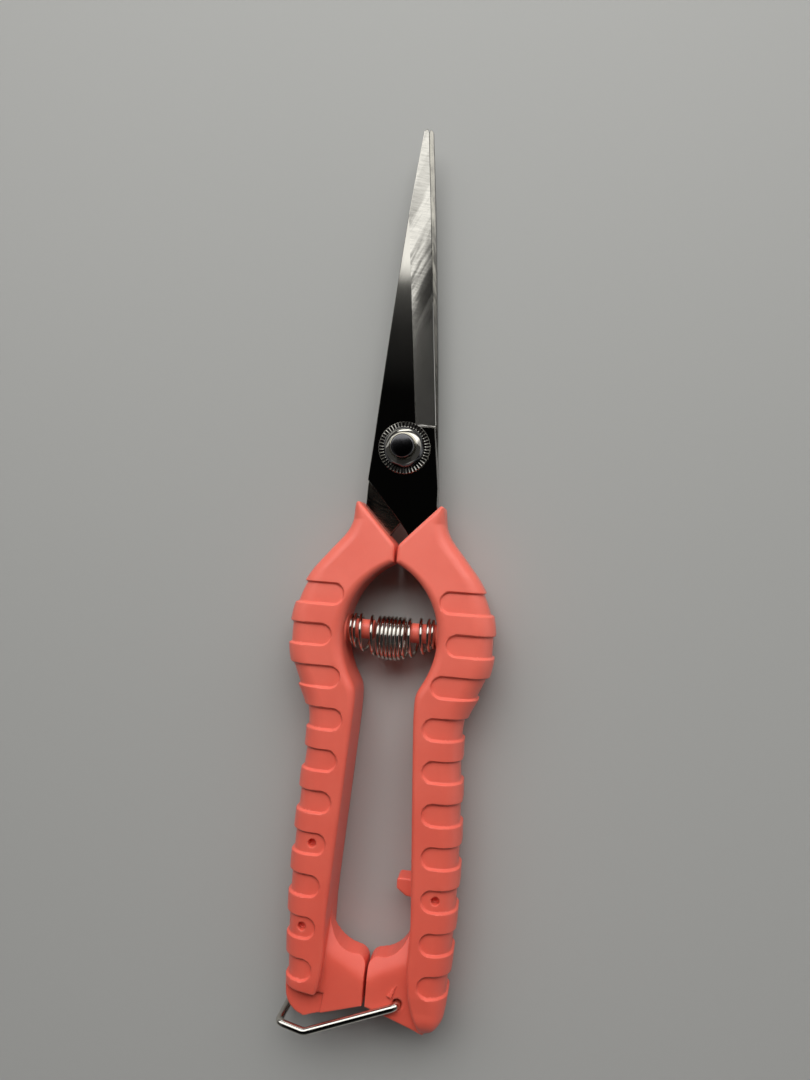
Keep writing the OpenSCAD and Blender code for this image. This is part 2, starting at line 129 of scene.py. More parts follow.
class Finish(NodeTree):
    """The material of one finish, patterned in object coordinates."""

    def __init__(self, name):
        self.material = bpy.data.materials.new(name)
        self.material.use_nodes = True
        super().__init__(self.material.node_tree)
        self.place = self.node("ShaderNodeTexCoord").outputs["Object"]

    def surface(self, **looks):
        """Gives sockets of the shader, named with _ for a space, their values."""
        for key, value in looks.items():
            self.put(self.tree.nodes["Principled BSDF"].inputs[key.replace("_", " ")], value)

    def grain(self, cells, detail=3.0, rough=0.6, turn=0.0):
        """Noise with so many cells a metre along each axis, turned about Z."""
        mapping = self.node("ShaderNodeMapping")
        self.put(mapping.inputs["Vector"], self.place)
        self.put(mapping.inputs["Rotation"], (0, 0, turn))
        stretched = self.node("ShaderNodeVectorMath", operation="MULTIPLY")
        self.put(stretched.inputs[0], mapping.outputs[0])
        self.put(stretched.inputs[1], cells)
        noise = self.node("ShaderNodeTexNoise")
        for key, value in (("Vector", stretched.outputs[0]), ("Scale", 1.0),
                           ("Detail", detail), ("Roughness", rough)):
            self.put(noise.inputs[key], value)
        return noise.outputs["Fac"]

    def blend(self, share, a, b):
        """Colour between a and b."""
        mix = self.node("ShaderNodeMix", data_type="RGBA")
        # the node has an A, a B and a Result of every type; 6, 7 and 2 are the colours
        for socket, value in (("Factor", share), (6, a), (7, b)):
            self.put(mix.inputs[socket], value)
        return mix.outputs[2]

    def relief(self, height, depth, under=None):
        """Bump of depth metres from a height of 0 to 1, over the bump under it."""
        bump = self.node("ShaderNodeBump")
        for key, value in (("Strength", 1.0), ("Distance", depth), ("Height", height)):
            self.put(bump.inputs[key], value)
        if under is not None:
            self.put(bump.inputs["Normal"], under)
        return bump.outputs["Normal"]


# where the wheel's dark streaks begin, are full, begin to fade and are faint
streak_start, streak_full, streak_fade, streak_faint = [
    pivot_at[1] + y for y in (0.022, 0.032, 0.042, 0.056)]
streak_colour = (0.16, 0.155, 0.14, 1)


def steel(name, colour, rough, grind, depth, waves=None):
    """Stainless steel with fine marks, in grind cells a metre, of depth metres.

    waves adds the grinding wheel's slanted ripple and dark streaks: the ripple's
    cells a metre, its turn about Z, its depth and the streaks' strength.
    """
    finish = Finish(name)
    marks = finish.grain(grind, detail=5.0, rough=0.7)
    clouds = finish.grain((55, 30, 55), detail=4.0)
    duller = [channel * 0.86 for channel in colour]
    shade = finish.blend(finish.spread(clouds, 0.35, 0.65, 0, 1), (*duller, 1), (*colour, 1))
    ripple = None
    if waves:
        cells, turn, ripple_depth, strength = waves
        y = finish.parts(finish.place)["Y"]
        streaked = finish.maths(
            "MULTIPLY", finish.spread(y, streak_fade, streak_faint, strength, strength * 0.25),
            finish.spread(y, streak_start, streak_full, 0.1, 1))
        streaks = finish.grain((cells[0] * 1.9, cells[1], cells[2]), rough=0.5, turn=turn)
        lines = finish.maths(
            "ADD", finish.maths("MULTIPLY", finish.spread(streaks, 0.42, 0.56, 0, 1), streaked),
            finish.spread(marks, 0.35, 0.65, 0, strength * 0.35))
        shade = finish.blend(lines, shade, streak_colour)
        ripple = finish.relief(finish.grain(cells, detail=2.0, rough=0.5, turn=turn), ripple_depth)
    mottled = finish.maths("ADD", marks, clouds)
    finish.surface(Base_Color=shade, Metallic=1.0,
                   Roughness=finish.spread(mottled, 0.7, 1.3, rough * 0.75, rough * 1.35),
                   Normal=finish.relief(marks, depth, ripple))
    return finish.material


def worn_face():
    """The rear blade's inner flat, scored in rings by the other blade and browned by sap."""
    finish = Finish("worn_flat")
    from_pivot = finish.node("ShaderNodeVectorMath", operation="DISTANCE")
    finish.put(from_pivot.inputs[0], finish.place)
    finish.put(from_pivot.inputs[1], pivot_at)
    rings = finish.node("ShaderNodeTexNoise", noise_dimensions="1D")
    for key, value in (("W", from_pivot.outputs["Value"]), ("Scale", 2600), ("Detail", 4.0)):
        finish.put(rings.inputs[key], value)
    patches = finish.spread(finish.grain((140, 140, 140), detail=4.0), 0.35, 0.6, 0.25, 1)
    scored = finish.maths("MULTIPLY", rings.outputs["Fac"], patches)
    bare, browned = (0.34, 0.33, 0.31, 1), (0.42, 0.36, 0.29, 1)
    finish.surface(Base_Color=finish.blend(finish.spread(scored, 0.2, 0.5, 0, 1), bare, browned),
                   Metallic=1.0, Roughness=finish.spread(scored, 0.15, 0.5, 0.05, 0.20),
                   Normal=finish.relief(scored, 1.0e-6))
    return finish.material


blade_finishes = {
    "flat": steel("mirror_flat", (0.63, 0.61, 0.55), 0.045, (900, 260, 600), 6.0e-7,
                  waves=((160, 60, 60), 0.35, 6.0e-6, 0.12)),
    "bevel": steel("ground_bevel", (0.68, 0.66, 0.60), 0.105, (300, 2400, 300), 2.0e-6,
                   waves=((330, 55, 60), 0.38, 6.0e-5, 0.85)),
    # the rims are dark steel: painted shade along the blades' spines, sides and tangs, and on the
    # plunge's wall
    "rim": steel("stamped_rim", (0.18, 0.175, 0.16), 0.18, (900, 900, 3000), 1.0e-6),
    "worn": worn_face(),
    "back": steel("scuffed_back", (0.50, 0.48, 0.42), 0.20, (700, 300, 700), 4.0e-6,
                  waves=((500, 160, 60), -0.25, 6.0e-5, 0.85)),
    "edge": steel("honed_edge", (0.72, 0.71, 0.67), 0.20, (300, 3000, 300), 4.0e-6),
}

# blade_face is half the gap between the blades; the edge keeps edge_thick, and near the
# tip never less than edge_thinnest
blade_length, blade_thick, blade_face, edge_thick, edge_thinnest = 68.4, 2.2, 0.03, 0.35, 0.13
back_root, back_tip, back_swell, edge_set_in = 6.72, 0.95, 0.25, 0.35
plunge, wall_start, wall_run = 4.6, 4.5, 0.7
grind_root, grind_run, hollow, bevel_steps = 1.9, 45.0, 0.0155, 9
spine_break, edge_break, shank_break = 0.13, 0.09, 0.15
# the edge meets the centre line here, and the nose is rounded off from nose_from on
edge_end_y, nose_from, nose_back, nose_edge = 67.95, 67.68, 0.54, 0.25
shank_spine_y, shank_edge_y = -7, -8
# the tang's two sides: (distance below the pivot, distance from the centre line)
tang_spine = [(15, -0.25), (17.2, 1.45), (20.3, 3.3), (26, 5.5)]
tang_edge = [(11.7, 7.7), (15.5, 7.9), (20.3, 8.5), (26, 10.6)]
# the rear blade is worn up to here, and both edges are bright steel only between these: a painted
# highlight, with the rim's dark steel beyond
worn_to, highlight_from, highlight_to = 4, 5.2, 31


def back_edge(y):
    """Half width from the centre line to the spine."""
    s = np.clip(y / blade_length, 0, 1)
    taper = (back_root - back_tip) * (blade_length - y) / blade_length
    return back_tip + taper + 4 * back_swell * s * (1 - s)


def blade_section(y):
    """The front blade's cross-section at y, as (x, z) rows.

    They run from the inner face's spine side to its edge, up the ground bevel, and
    back over the outer flat to the spine.
    """
    left = -back_edge(y)
    if y < shank_spine_y:
        below, across = zip((-shank_spine_y, -back_edge(shank_spine_y)), *tang_spine)
        left = np.interp(-y, below, across)
    root = back_edge(plunge) - edge_set_in
    below, across = zip((-edge_end_y, 0.0), (-plunge, root),
                        (-shank_edge_y, back_edge(shank_edge_y) + 0.2), *tang_edge)
    right = np.interp(-y, below, across)
    nose = max(0.0, y - nose_from) / (blade_length - nose_from)
    left, right = left + nose_back * nose ** 2, right - nose_edge * nose ** 2

    # the bevel falls evenly from the slanting grind line to the edge
    fall = (blade_thick - edge_thick) / (root - grind_root)
    run_out = -back_edge(plunge + grind_run)
    grind_line = grind_root + (run_out - grind_root) * (y - plunge) / grind_run
    # the grinding wheel leaves a short curved wall at the plunge
    depth = np.clip((y - wall_start) / wall_run, 0, 1)
    depth = math.sqrt(1 - (1 - depth) ** 2)
    line = max(grind_line, left + 0.05)
    high = blade_thick - fall * max(0.0, line - grind_line) * depth
    low = max(edge_thinnest, blade_thick - fall * (right - grind_line) * depth)
    rim = edge_break if y >= wall_start else shank_break
    bevel_right, bevel_left = right - rim, line + 0.02
    ground = [(bevel_right + (bevel_left - bevel_right) * t,
               low + (high - low) * t - 4 * hollow * (right - line) * t * (1 - t) * depth)
              for t in np.linspace(0, 1, bevel_steps)]
    r = spine_break
    return [(left + r, 0), (right - edge_break, 0), (right, edge_break), (right, low - rim),
            *ground, (line - 0.02, high), (left + r, high), (left + 0.3 * r, high - 0.3 * r),
            (left, high - r), (left, r), (left + 0.3 * r, 0.3 * r)]


def blade_mesh(turned_over):
    """Points, faces and each face's finish, for the front blade or the one turned over."""
    marks = [-26, -23, -20.3, -17.2, -15.5, -15, -13, -11.7, shank_edge_y, shank_spine_y,
             -4, 0, 3, 4.4]
    marks += [wall_start + wall_run * k / 8 for k in range(9)]
    marks += [*np.linspace(5.4, 67.4, 125), nose_from, 67.9, 68.1, 68.25, 68.35, blade_length]
    rows = [[(x, y, z + blade_face) for x, z in blade_section(y)] for y in marks]
    count = len(rows[0])
    points = np.array(rows).reshape(-1, 3)
    round_section = ["worn" if turned_over else "flat", "rim", "rim", "edge",
                     *["bevel"] * bevel_steps, "flat", *["rim"] * 5]
    finishes = []
    for start, end in zip(marks, marks[1:]):
        for finish in round_section:
            # the plunge's curved wall takes the rim's dark steel: painted shade over its highlight
            if finish == "bevel" and end <= plunge + 0.6:
                finish = "flat" if end <= wall_start else "rim"
            elif finish == "worn" and start > worn_to:
                finish = "back"
            # the edge is bright steel only along its painted highlight
            elif finish == "edge" and not highlight_from < start < highlight_to:
                finish = "rim"
            finishes.append(finish)
    faces = band_faces(len(rows), count)
    faces += [tuple(range(count)), tuple(range(len(points) - 1, len(points) - count - 1, -1))]
    finishes += ["rim", "rim"]
    if turned_over:
        points = points * np.array([-1, 1, -1])
    return points, faces, finishes


for node, body, turned_over in (("front_blade", "right_half", False),
                                ("rear_blade", "left_half", True)):
    points, faces, finishes = blade_mesh(turned_over)
    blade = new_piece(node.replace("_", "_steel_"), on_tool(points), faces,
                      blade_finishes.values(), body)
    order = list(blade_finishes)
    blade.data.polygons.foreach_set("material_index", [order.index(f) for f in finishes])
    blade.data.polygons.foreach_set("use_smooth", [f == "bevel" for f in finishes])
    blade.data.set_sharp_from_angle(angle=math.radians(9))
    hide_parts(node)

# ---------------------------------------------------------------- handles
# Coral thermoplastic moulded over the blades' tangs, one handle the mirror of
# the other. Each has a horn, a finger loop, ten shallow finger pockets, a flat
# heel web and a spring peg, all run together with the small rounds of a mould.

grip_half, belly, tail = 6.2, 21.6, -118.6
along = np.arange(-121.0, -8.0, 0.05)
# down the handle: (y, share of belly), (y, x added), (y, share of grip_half), (y, radius)
palm = [(-11.9, .425), (-17.5, .486), (-22.3, .656), (-27, .825), (-31, .924), (-35, .981),
        (-40, 1.0), (-45, .977), (-50, .888), (-54.5, .792), (-58.99, .766), (-69.88, .790),
        (-85.01, .818), (-98, .814), (-108, .790), (-113, .768), (-118.6, .715)]
heel_offset = [(-96, 0), (-101, -.3), (-106, -.6), (-110, -.4), (-113.5, .3), (-117.1, 1.6)]
plump = [(-12, .60), (-18, .71), (-25, .83), (-32, .95), (-38, 1.0), (-60, 1.0), (-110, 1.0),
         (-115.6, .99)]
inner_edge = [(-20.3, .9), (-27.9, 1.6), (-36, 2.2), (-48, 2.0), (-58.5, 1.1), (-92.6, 1.0),
              (-98.6, .7)]
# the handles meet below their horns, part for the finger loops and meet again at the heels
meet_x, meet_y, horn_x, horn_y = 0.25, -20.3, 8.4, -11.7
loop_x, loop_y, loop_r = -6.8, -39.0, 16.6
waist_x, waist_y, heel_x, heel_y = 6.4, -59.6, 8.6, -95.7
lower_y, tail_x = -114.2, 14.2


def flowing(table, y):
    """Smooth curve through (place, value) rows."""
    t, v = np.array(table)[::-1].T
    rise = np.diff(v) / np.diff(t)
    slope = np.concatenate([rise[:1], (rise[1:] + rise[:-1]) / 2, rise[-1:]])
    y = np.clip(y, t[0], t[-1])
    k = np.clip(np.searchsorted(t, y, "right") - 1, 0, len(t) - 2)
    d = t[k + 1] - t[k]
    s = (y - t[k]) / d
    return (v[k] * (1 + 2 * s) * (1 - s) ** 2 + slope[k] * d * s * (1 - s) ** 2
            + v[k + 1] * s * s * (3 - 2 * s) + slope[k + 1] * d * s * s * (s - 1))


def soft_max(a, b, k):
    return (a + b + np.sqrt((a - b) ** 2 + k * k)) / 2


def either(a, b, k):
    """Union of two fields with a concave round of about k."""
    return -soft_max(-a, -b, k)


def corner(a, b, r):
    """Intersection of two half spaces with a convex round of radius r."""
    a, b = a + r, b + r
    return np.minimum(np.maximum(a, b), 0) + np.hypot(np.maximum(a, 0), np.maximum(b, 0)) - r


def left_of(start, end, x, y):
    """Distance from the line through start and end, positive on its left."""
    run_x, run_y = end[0] - start[0], end[1] - start[1]
    return (run_x * (y - start[1]) - run_y * (x - start[0])) / math.hypot(run_x, run_y)


def polygon_distance(corners, x, y):
    """Signed distance to a closed outline, negative inside."""
    corners = np.array(corners, float)
    best = np.full(x.shape, 1e9)
    odd = np.zeros(x.shape, bool)
    for a, b in zip(corners, np.roll(corners, -1, 0)):
        e = b - a
        t = np.clip(((x - a[0]) * e[0] + (y - a[1]) * e[1]) / (e @ e), 0, 1)
        best = np.minimum(best, np.hypot(x - a[0] - t * e[0], y - a[1] - t * e[1]))
        odd ^= ((a[1] > y) != (b[1] > y)) & (x < a[0] + (y - a[1]) / (b[1] - a[1] + 1e-12) * e[0])
    return np.where(odd, -best, best)


def loop_edge(y):
    return loop_x + np.sqrt(np.maximum(0, loop_r ** 2 - (y - loop_y) ** 2))


side = belly * flowing(palm, along)
height = grip_half * flowing(plump, along)
straight = waist_x + (heel_x - waist_x) * (along - waist_y) / (heel_y - waist_y)
inside = soft_max(loop_edge(along), straight, 1.4 * np.clip((loop_y - along) / 8, 0, 1))
inside = inside + flowing(heel_offset, along)
lower_x = meet_x + (tail_x - meet_x) * np.clip((lower_y - along) / (lower_y - tail), 0, 1)
wall = np.select([along > meet_y, along > loop_y],
                 [meet_x + (horn_x - meet_x) * (along - meet_y) / (horn_y - meet_y),
                  np.maximum(meet_x, loop_edge(along))],
                 np.maximum(inside, lower_x))
side_slope, inside_slope, height_slope = [
    np.sqrt(1 + np.gradient(edge, along) ** 2) for edge in (side, inside, height)]
inner_round = flowing(inner_edge, along)
breadth = side - np.where(along < loop_y, inside, wall)
outer_round = np.minimum(np.interp(along, [-33, -26], [4.6, 2.8]),
                         np.minimum(0.9 * height, 0.56 * breadth))

# the pockets, and the blind holes that the mould's pins leave in some of them
pocket_at = [-31.2 - 8.5 * k for k in range(10)]
pocket_half, pocket_depth, pocket_land, pocket_edge = 2.35, 0.6, 1.9, 0.42
pin_inset, pin_r, pin_floor, left_pins, right_pins = 4.9, 0.8, 4.1, [6, 8], [7]

# the web's outline turns a nose at the meeting line and sweeps up into the grip
web_top, web_half, web_nose, web_sweep, web_rise, web_outer = -104.5, 4.2, 2.35, 6.3, 9.0, 12.5
nose_x = meet_x + web_nose
web_outline = [(meet_x, lower_y)]
web_outline += [(nose_x - web_nose * math.cos(q), web_top - web_nose + web_nose * math.sin(q))
                for q in np.radians(range(0, 91, 18))]
web_outline += [(nose_x + web_sweep * math.sin(q), web_top + web_rise * (1 - math.cos(q)))
                for q in np.radians(range(10, 91, 10))]
web_outline += [(web_outer, web_top + web_rise),
                (web_outer, lower_y - (web_outer - meet_x) * (lower_y - tail) / (tail_x - meet_x))]
# its face falls away beyond a slanting plane: a point of the plane and its normal
slant_at, slant = (meet_x, -108.8, web_half), (-0.2488, 0.4679, 0.8480)

peg_y, peg_r, peg_x, seat_r, seat_x, peg_root = -38.3, 2.05, 3.8, 3.2, 9.4, 12
nub_outline = [(9.9, -88.7), (5.5, -88.75), (5.5, -90.0), (7.1, -91.1), (9.9, -91.4)]
nub_round, nub_half = 0.6, 2.4
# the wedge grows from its tip to its foot: half width and height at the tip, and their growth
wedge_tip, wedge_foot, wedge_half, wedge_z = (6.5, -109.0), (5.22, -111.44), 0.08, 4.25
wedge_widen, wedge_climb = 0.40, 0.50
bail_hole, bail_hole_r, sink_from, sink_deep, sink_wide = (6.9, -112.7), 0.83, 3.4, 0.8, 0.5
catch_at, catch_lean, catch_back, catch_half = (9, -112.7), math.radians(8), -0.6, 3.7


def grip_field(x, y, z):
    """The long moulding from horn to tail, with its finger pockets."""
    def at(values):
        return np.interp(y, along, values)

    face = (z - at(height)) / at(height_slope)
    outer = (x - at(side)) / at(side_slope)
    plan = corner(corner(outer, tail - y, 4.8), y - horn_y, 0.5)
    grip = corner(plan, face, at(outer_round))
    horn = left_of((meet_x, meet_y), (horn_x, horn_y), x, y)
    grip = np.maximum(grip, corner(soft_max(horn, meet_x - x, 0.35), face, 0.85))
    ring = np.where(y > loop_y, loop_r - np.hypot(x - loop_x, y - loop_y),
                    (at(inside) - x) / at(inside_slope))
    grip = np.maximum(grip, corner(ring, face, at(inner_round)))
    lower_rim = left_of((tail_x, tail), (meet_x, lower_y), x, y)
    grip = np.maximum(grip, corner(lower_rim, face, 0.8))
    grip = soft_max(grip, corner(tail - y, face, 5.0), 0.5 * np.clip((-110 - y) / 3, 0, 1))
    for place in pocket_at:
        pocket_x = np.interp(place, along, wall) + pocket_land + pocket_half
        pocket = np.hypot(np.minimum(x - pocket_x, 0), y - place) - pocket_half
        share = np.clip(0.1 - pocket / pocket_edge, 0, 1)
        grip = grip + pocket_depth * share * share * (3 - 2 * share)
    return grip


def heel_web_field(x, y, z):
    """The flat web that closes the handles' heels against each other."""
    plan, face = polygon_distance(web_outline, x, y), z - web_half
    slope = sum(lean * (place - start) for lean, place, start in zip(slant, (x, y, z), slant_at))
    web = np.maximum(soft_max(plan, face, 0.25), soft_max(slope, face, 0.55))
    return np.maximum(web, plan)


def spring_peg_field(x, y, z):
    """The peg inside the spring's end, and the round seat behind it."""
    off_axis = np.hypot(y - peg_y, z)
    peg = either(corner(off_axis - peg_r, peg_x - x, 0.4),
                 corner(off_axis - seat_r, seat_x - x, 0.25), 0.15)
    return np.maximum(peg, x - peg_root)


def wedge_field(x, y, z):
    """The small ramp beside the bail's hole."""
    run_x, run_y = wedge_foot[0] - wedge_tip[0], wedge_foot[1] - wedge_tip[1]
    length = math.hypot(run_x, run_y)
    t = ((x - wedge_tip[0]) * run_x + (y - wedge_tip[1]) * run_y) / length ** 2
    across = np.abs(left_of(wedge_tip, wedge_foot, x, y)) - wedge_half - wedge_widen * t
    return np.maximum(np.maximum(across, z - wedge_z - wedge_climb * t),
                      np.maximum(-t, t - 1) * length)


def catch_field(x, y, z):
    """What is cut from the left heel for the latched bail's wire."""
    dx, dy = x - catch_at[0], y - catch_at[1]
    above = math.cos(catch_lean) * dy - math.sin(catch_lean) * dx
    beside = math.cos(catch_lean) * dx + math.sin(catch_lean) * dy
    return np.maximum(np.maximum(above, catch_back - beside), catch_half - z)


def handle_field(p, left):
    """Signed distance in millimetres to the handle's surface, negative in the plastic."""
    x, y, z = p[:, 0], p[:, 1], np.abs(p[:, 2])
    body = either(grip_field(x, y, z), heel_web_field(x, y, z), 0.35)
    body = either(body, spring_peg_field(x, y, z), 0.2)
    if left:
        body = soft_max(body, -catch_field(x, y, z), 0.2)
    else:
        nub = corner(polygon_distance(nub_outline, x, y) - nub_round, z - nub_half, 0.35)
        body = either(either(body, nub, 0.3), wedge_field(x, y, z), 0.12)
        bore = np.hypot(x - bail_hole[0], y - bail_hole[1]) - bail_hole_r
        countersink = sink_wide * np.clip((z - sink_from) / sink_deep, 0, 1) ** 2
        body = soft_max(body, countersink - bore, 0.1)
    for place in [pocket_at[k] for k in (left_pins if left else right_pins)]:
        pin_x = np.interp(place, along, wall) + pin_inset
        pin = np.maximum(np.hypot(x - pin_x, y - place) - pin_r, pin_floor - p[:, 2])
        body = soft_max(body, -pin, 0.12)
    return body


def moulded_skin(field, low, high, step):
    """Surface of a field by surface nets, moved onto the field, with its normals."""
    size = np.ceil((np.array(high) - low) / step).astype(int) + 1
    axes = [low[k] + step * np.arange(size[k]) for k in range(3)]
    value = np.empty(size)
    for i in range(size[0]):
        yy, zz = np.meshgrid(axes[1], axes[2], indexing="ij")
        slab = np.stack([np.full(yy.size, axes[0][i]), yy.ravel(), zz.ravel()], 1)
        value[i] = field(slab).reshape(size[1], size[2])
    solid = value < 0
    total, crossings = np.zeros((*(size - 1), 3)), np.zeros(size - 1)
    quads = []
    # each grid edge that crosses the surface joins the four cells round it
    for axis in range(3):
        near, far = [slice(None)] * 3, [slice(None)] * 3
        near[axis], far[axis] = slice(0, -1), slice(1, None)
        near, far = tuple(near), tuple(far)
        cross = solid[near] != solid[far]
        t = np.where(cross, value[near] / np.where(cross, value[near] - value[far], 1), 0)
        i, j, k = np.nonzero(cross)
        spot = np.stack([i, j, k], 1).astype(float)
        spot[:, axis] += t[i, j, k]
        u, w = (axis + 1) % 3, (axis + 2) % 3
        cells = []
        for du, dw in ((0, 0), (-1, 0), (-1, -1), (0, -1)):
            cell = np.stack([i, j, k], 1)
            cell[:, u] += du
            cell[:, w] += dw
            ok = ((cell >= 0) & (cell < size - 1)).all(1)
            np.add.at(total, tuple(cell[ok].T), spot[ok])
            np.add.at(crossings, tuple(cell[ok].T), 1)
            cells.append(cell)
        cells = np.stack(cells, 1)
        flip = ~solid[near][i, j, k]
        cells[flip] = cells[flip][:, ::-1]
        quads.append(cells)
    number = -np.ones(size - 1, int)
    used = np.nonzero(crossings)
    number[used] = np.arange(len(used[0]))
    points = low + step * total[used] / crossings[used][:, None]
    cells = np.concatenate(quads)
    faces = number[cells[..., 0], cells[..., 1], cells[..., 2]]

    def gradient(p):
        h = 0.02
        return np.stack([(field(p + h * d) - field(p - h * d)) / (2 * h) for d in np.eye(3)], 1)

    # three times onto the surface, and in between towards the neighbours' middle
    for turn in range(3):
        slope = gradient(points)
        square = np.maximum((slope ** 2).sum(1), 0.25)
        points = points - np.clip(field(points) / square, -0.3, 0.3)[:, None] * slope
        if turn < 2:
            joined, met = np.zeros_like(points), np.zeros(len(points))
            for k in range(4):
                np.add.at(joined, faces[:, k], points[faces].mean(1))
                np.add.at(met, faces[:, k], 1)
            points = 0.4 * points + 0.6 * joined / met[:, None]
    normals = gradient(points)
    return points, faces, normals / np.maximum(np.linalg.norm(normals, axis=1), 1e-9)[:, None]


def smooth(piece, break_angle=None):
    """Smooth shading, kept sharp where faces meet at more than break_angle degrees."""
    piece.data.polygons.foreach_set("use_smooth", [True] * len(piece.data.polygons))
    if break_angle:
        piece.data.set_sharp_from_angle(angle=math.radians(break_angle))


# painted light and shade: the plastic's colour runs paler towards the horns and deeper at the
# heels, as the light is brighter towards the blades' tips
coral = Finish("coral_plastic")
mottle = coral.grain((90, 90, 90), detail=4.0)
spark = coral.grain((2600, 2600, 2600), detail=2.0)
orange_peel = coral.grain((700, 700, 700))
heels_at, horns_at = -0.085, 0.012
painted_light_to_horns = coral.spread(coral.parts(coral.place)["Y"], heels_at, horns_at, 0, 1)
deep = coral.blend(painted_light_to_horns, (0.79, 0.112, 0.072, 1), (0.85, 0.158, 0.107, 1))
light = coral.blend(painted_light_to_horns, (0.83, 0.127, 0.081, 1), (0.89, 0.180, 0.123, 1))
coral.surface(Base_Color=coral.blend(coral.spread(mottle, 0.35, 0.65, 0, 1), deep, light),
              Roughness=coral.spread(mottle, 0.3, 0.7, 0.38, 0.46), Specular_IOR_Level=0.65,
              Coat_Weight=0.35, Coat_Roughness=0.5,
              Subsurface_Weight=0.12, Subsurface_Radius=(1.0, 0.35, 0.25),
              Subsurface_Scale=0.0012,
              Normal=coral.relief(spark, 9e-6, coral.relief(orange_peel, 9e-6)))

skin_step = 0.27
skin_low, skin_high = (-0.6, -119.6, -7.0), (22.6, -10.6, 7.0)
for node, body, left in (("right_handle", "right_half", False), ("left_handle", "left_half", True)):
    points, faces, normals = moulded_skin(lambda p: handle_field(p, left),
                                          skin_low, skin_high, skin_step)
    points[:, 2] = np.clip(points[:, 2], -grip_half, grip_half)
    if left:
        points, normals, faces = points * [-1, 1, 1], normals * [-1, 1, 1], faces[:, ::-1]
    handle = new_piece(node.replace("handle", "grip"), on_tool(points), faces, [coral.material],
                       body)
    smooth(handle)
    if len(handle.data.vertices) == len(normals):
        handle.data.normals_split_custom_set_from_vertices(normals.tolist())
    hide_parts(node)

# ---------------------------------------------------------------- bolt, nut and washer
# An M5 bolt through both blades, its slotted head behind and its domed end in
# front, in a rounded hexagon nut on a washer with fine radial teeth. All bright
# turned steel, tightened by hand and left to turn freely. The washer and the nut's
# steep shoulder are given dark steel as painted shade, and the bolt's end is dark.

bright = steel("turned_steel", (0.64, 0.62, 0.56), 0.055, (1500, 1500, 500), 0.6e-6)
dark_end_and_painted_shade = steel("bolt_end", (0.12, 0.12, 0.125), 0.14, (900, 900, 900), 6.0e-6)
# the washer's steel is made dark: painted shade over its flat ring, where it reflects the dark
# overhead
shaded_washer_steel = steel("tumbled_steel", (0.34, 0.33, 0.30), 0.09, (1500, 1500, 500), 0.6e-6)

bolt_r, bolt_sides, dome_top, dome_round, end_break, dark_from = 2.5, 96, 6.68, 13, 0.5, 5.7
head_r, head_low, head_high, head_break, head_rim, crown_round = 4.5, -4.33, -2.23, 0.15, -2.98, 9
slot_half, slot_floor, centre_r = 0.55, -3.43, 0.02


def turned(profile, count, outline=None, bored=False):
    """A profile of (r, z, shaped) rows turned about the bolt's axis.

    outline scales the radius of the shaped rows. A bored profile is closed from its
    last row back to its first.
    """
    angles = 2 * np.pi * np.arange(count) / count
    rows = []
    for r, z, shaped in profile:
        radii = [r * outline(q) if shaped else r for q in angles]
        rows.append([(radius * math.cos(q), radius * math.sin(q), z)
                     for radius, q in zip(radii, angles)])
    return np.array(rows).reshape(-1, 3), band_faces(len(profile), count, bored)


# the bolt, with its end face hardly domed and the slot milled across its head
flat_r = bolt_r - end_break
profile = [(centre_r, dome_top)]
profile += [(r, dome_top - dome_round + math.sqrt(dome_round ** 2 - r * r))
            for r in (0.5, 1.0, 1.5, flat_r)]
break_z = profile[-1][1] - end_break
profile += [(flat_r + end_break * math.sin(q), break_z + end_break * math.cos(q))
            for q in (0.4, 0.8, 1.2, math.pi / 2)]
profile += [(bolt_r, head_high), (head_r - head_break, head_high), (head_r, head_high - head_break),
            (head_r, head_rim), (head_r - 0.06, head_rim - 0.1)]
profile += [(r, head_low + crown_round - math.sqrt(crown_round ** 2 - r * r))
            for r in (4.3, 3.9, 3.3, 2.6, 1.8, 0.9, centre_r)]
points, faces = turned([(r, z, False) for r, z in profile], bolt_sides)
faces += [tuple(range(bolt_sides)),
          tuple(range(len(points) - 1, len(points) - bolt_sides - 1, -1))]
bolt = new_piece("domed_bolt", on_tool(points), faces, [bright, dark_end_and_painted_shade],
                 "left_half")
dark_z = on_tool((0, 0, dark_from))[2]
bolt.data.polygons.foreach_set("material_index",
                               [int(face.center[2] > dark_z) for face in bolt.data.polygons])
smooth(bolt, 35)
slot_block = [(x, y, z) for x in (-6, 6) for y in (-slot_half, slot_half) for z in (-6, slot_floor)]
block_faces = [(0, 1, 3, 2), (4, 6, 7, 5), (0, 4, 5, 1), (2, 3, 7, 6), (0, 2, 6, 4), (1, 5, 7, 3)]
cutter = new_piece("driver_slot", on_tool(slot_block), block_faces, [bright])
slotted = bolt.modifiers.new("driver_slot", "BOOLEAN")
slotted.object, slotted.operation, slotted.solver = cutter, "DIFFERENCE", "EXACT"
bpy.context.view_layer.update()
cut_mesh = bpy.data.meshes.new_from_object(
    bolt.evaluated_get(bpy.context.evaluated_depsgraph_get()))
bolt.modifiers.clear()
bolt.data = cut_mesh
bpy.data.objects.remove(cutter)
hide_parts("pivot_bolt")

nut_low, nut_high, nut_bore, nut_sides = 3.08, 5.98, 2.52, 144
nut_flat, nut_corner, nut_turn, corner_round, shoulder_round = 4.05, 4.25, 12, 0.05, 5.6
# the nut's faces that are steeper than this get dark steel: painted shade round its shoulder
shade_steepness = 0.74


def hexagon(angle):
    """Radius of the rounded hexagon, as a share of its corner radius."""
    turn = (math.degrees(angle) - nut_turn + 30) % 60 - 30
    flat = nut_flat / math.cos(math.radians(turn))
    return -soft_max(-flat, -nut_corner, corner_round) / nut_corner


def shoulder(r):
    return nut_high - shoulder_round + math.sqrt(shoulder_round ** 2 - r * r)


